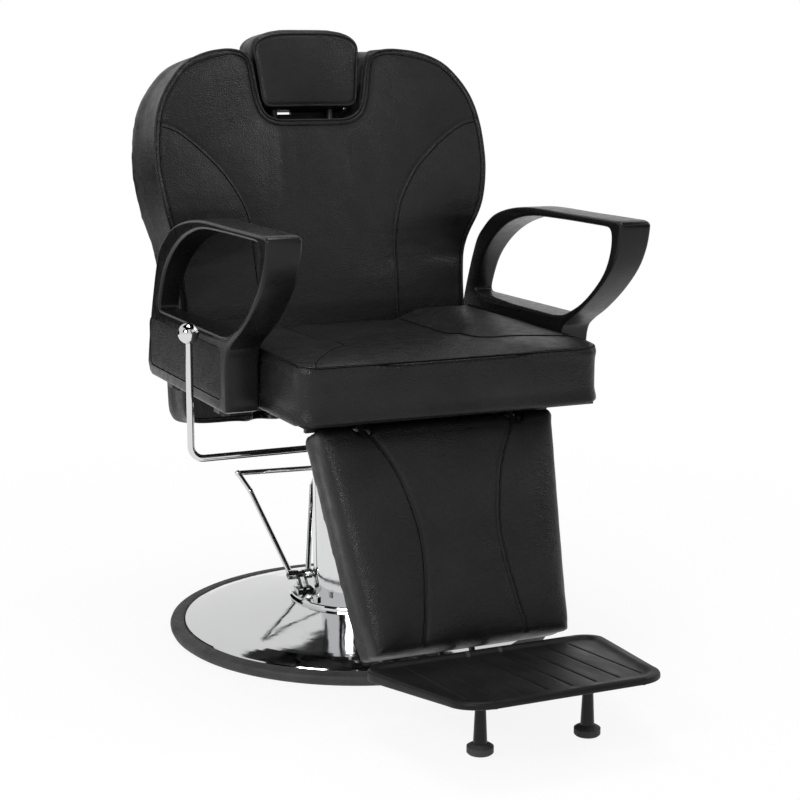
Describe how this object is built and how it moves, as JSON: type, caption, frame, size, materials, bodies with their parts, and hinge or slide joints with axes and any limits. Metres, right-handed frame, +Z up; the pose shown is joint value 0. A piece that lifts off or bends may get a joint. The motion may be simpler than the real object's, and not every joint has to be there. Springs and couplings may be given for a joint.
{
  "type": "barber chair",
  "caption": "Hydraulic reclining barber chair in black upholstery with a sliding headrest, loop armrests, leg rest, hinged footplate and a chrome pump base.",
  "frame": {"origin": "Centre of the floor ring, on the floor", "axes": "+Z up; the chair faces -Y; the sitter's right-hand side is -X"},
  "size_m": [0.6375, 0.991, 0.9449],
  "materials": {
    "upholstery": "satin",
    "plywood": "matte",
    "arm_plastic": "satin",
    "panel_plastic": "matte",
    "black_paint": "matte",
    "grey_rubber": "matte",
    "chrome_steel": "polished",
    "frame_steel": "satin"
  },
  "bodies": {
    "base": {"base_ring": "grey_rubber", "base_pan": "chrome_steel", "base_plate": "frame_steel", "pump_collar": "chrome_steel", "collar_bolts": "chrome_steel", "pump_cover": "chrome_steel", "cover_lid": "chrome_steel", "pump_cylinder": "frame_steel", "ram_gland": "frame_steel", "plunger_block": "frame_steel", "pedal_bracket": "chrome_steel", "shaft_bushing": "frame_steel"},
    "pedal": {"pump_pedal": "chrome_steel", "pedal_shaft": "frame_steel"},
    "plunger": {"pump_plunger": "frame_steel"},
    "ram": {"lift_ram": "chrome_steel", "ram_piston": "frame_steel"},
    "seat_frame": {"mount_plate": "frame_steel", "mount_bolts": "frame_steel", "seat_rails": "frame_steel", "front_bar": "frame_steel", "cross_tubes": "frame_steel", "front_hinge_ears": "frame_steel", "rear_hinge_ears": "frame_steel", "arm_brackets": "frame_steel", "arm_bolts": "frame_steel", "seat_board": "plywood", "seat_cushion": "upholstery", "armrest_right": "arm_plastic", "armrest_left": "arm_plastic", "arm_panel_right": "panel_plastic", "arm_panel_left": "panel_plastic", "lever_bearings": "frame_steel", "lock_hangers": "frame_steel", "lock_cylinder": "frame_steel"},
    "release": {"release_pin": "frame_steel"},
    "lock": {"lock_rod": "chrome_steel"},
    "lever": {"lever_rod": "chrome_steel", "lever_ball": "chrome_steel", "lever_finger": "frame_steel"},
    "backrest": {"back_cushion": "upholstery", "back_board": "plywood", "back_hinge_plates": "frame_steel", "back_pins": "frame_steel", "back_link_bracket": "frame_steel", "lock_crank": "frame_steel", "headrest_sleeves": "frame_steel"},
    "link": {"link_rod": "frame_steel"},
    "headrest": {"headrest_cushion": "upholstery", "headrest_stalks": "frame_steel"},
    "legrest": {"legrest_cushion": "upholstery", "legrest_board": "plywood", "legrest_hinge_plates": "frame_steel", "legrest_pins": "frame_steel", "legrest_link_bracket": "frame_steel", "footplate_bracket": "frame_steel", "footplate_pin": "frame_steel"},
    "footrest": {"footplate": "black_paint", "foot_stems": "black_paint", "foot_pads": "grey_rubber"}
  },
  "joints": [
    {"name": "seat_lift", "type": "slide", "parent": "base", "child": "ram", "axis": [0, 0, 1], "range_m": [0, 0.15]},
    {"name": "seat_swivel", "type": "hinge", "parent": "ram", "child": "seat_frame", "pos_m": [0, 0, 0.34], "axis": [0, 0, 1], "continuous": true},
    {"name": "back_recline", "type": "hinge", "parent": "seat_frame", "child": "backrest", "pos_m": [0, 0.15, 0.36], "axis": [1, 0, 0], "range_deg": [-50, 0]},
    {"name": "legrest_raise", "type": "hinge", "parent": "seat_frame", "child": "legrest", "pos_m": [0, -0.283, 0.372], "axis": [1, 0, 0], "range_deg": [-50, 0]},
    {"name": "link_turn", "type": "hinge", "parent": "backrest", "child": "link", "pos_m": [0.15, 0.195, 0.295], "axis": [1, 0, 0], "range_deg": [0, 50]},
    {"name": "lock_slide", "type": "slide", "parent": "seat_frame", "child": "lock", "axis": [0, 1, 0], "range_m": [-0.05495, 0]},
    {"name": "headrest_slide", "type": "slide", "parent": "backrest", "child": "headrest", "axis": [0, 0.1184, 0.993], "range_m": [0, 0.07]},
    {"name": "footplate_fold", "type": "hinge", "parent": "legrest", "child": "footrest", "pos_m": [0, -0.43301, 0.07987], "axis": [1, 0, 0], "range_deg": [-85, 0]},
    {"name": "pedal_press", "type": "hinge", "parent": "base", "child": "pedal", "pos_m": [-0.085, 0.054, 0.078], "axis": [0.9936, -0.1132, 0], "range_deg": [-28, 0], "stiffness_Nm_per_rad": 4, "springref_deg": 17.19},
    {"name": "plunger_slide", "type": "slide", "parent": "base", "child": "plunger", "axis": [0, 0, 1], "range_m": [0, 0.0108]},
    {"name": "lever_pull", "type": "hinge", "parent": "seat_frame", "child": "lever", "pos_m": [-0.1, -0.114, 0.3235], "axis": [1, 0, 0], "range_deg": [-12, 0], "stiffness_Nm_per_rad": 3, "springref_deg": 14.32},
    {"name": "release_slide", "type": "slide", "parent": "seat_frame", "child": "release", "axis": [0, 1, 0], "range_m": [0, 0.0054]}
  ],
  "couplings": [
    {"joint": "legrest_raise", "follows": "back_recline", "ratio": 1},
    {"joint": "link_turn", "follows": "back_recline", "ratio": -1},
    {"joint": "lock_slide", "follows": "back_recline", "m_per_rad": 0.06295},
    {"joint": "plunger_slide", "follows": "pedal_press", "m_per_rad": -0.022},
    {"joint": "release_slide", "follows": "lever_pull", "m_per_rad": -0.0255}
  ]
}
